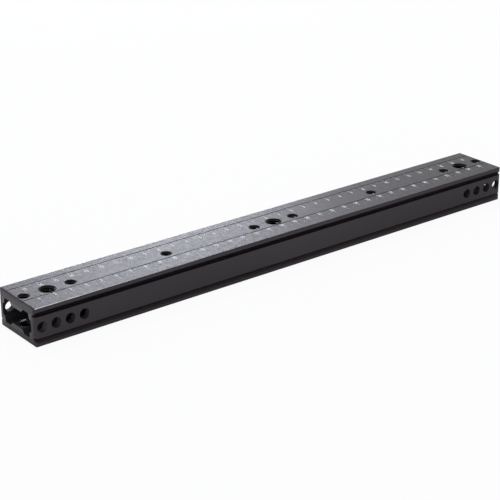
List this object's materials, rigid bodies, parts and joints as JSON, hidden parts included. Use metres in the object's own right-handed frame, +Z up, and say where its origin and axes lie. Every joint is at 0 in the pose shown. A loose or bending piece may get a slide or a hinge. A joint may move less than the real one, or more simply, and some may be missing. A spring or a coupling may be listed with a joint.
{
  "type": "camera rail",
  "caption": "Hollow dovetail camera rail with a row of threaded holes down its middle, cross holes near the ends and engraved length scales on top.",
  "frame": {"origin": "the middle of the bottom face, on the plane that the rail rests on", "axes": "+X along the rail towards the high end of the front scale, +Y towards the back, +Z up through the top face"},
  "size_m": [0.36, 0.0382, 0.0229],
  "materials": {
    "anodised_aluminium": "black anodised over a fine blasted grain",
    "insert_steel": "black oxide on turned steel"
  },
  "bodies": {
    "root": {"rail_extrusion": "anodised_aluminium", "large_insert_top_1": "insert_steel", "large_insert_top_2": "insert_steel", "large_insert_top_3": "insert_steel", "small_insert_top_1": "insert_steel", "small_insert_top_2": "insert_steel", "small_insert_top_3": "insert_steel", "small_insert_top_4": "insert_steel", "small_insert_top_5": "insert_steel", "small_insert_top_6": "insert_steel", "small_insert_top_7": "insert_steel", "small_insert_top_8": "insert_steel", "large_insert_floor_1": "insert_steel", "large_insert_floor_2": "insert_steel", "large_insert_floor_3": "insert_steel", "small_insert_floor_1": "insert_steel", "small_insert_floor_2": "insert_steel", "small_insert_floor_3": "insert_steel", "small_insert_floor_4": "insert_steel", "small_insert_floor_5": "insert_steel", "small_insert_floor_6": "insert_steel", "small_insert_floor_7": "insert_steel", "small_insert_floor_8": "insert_steel"}
  },
  "joints": []
}
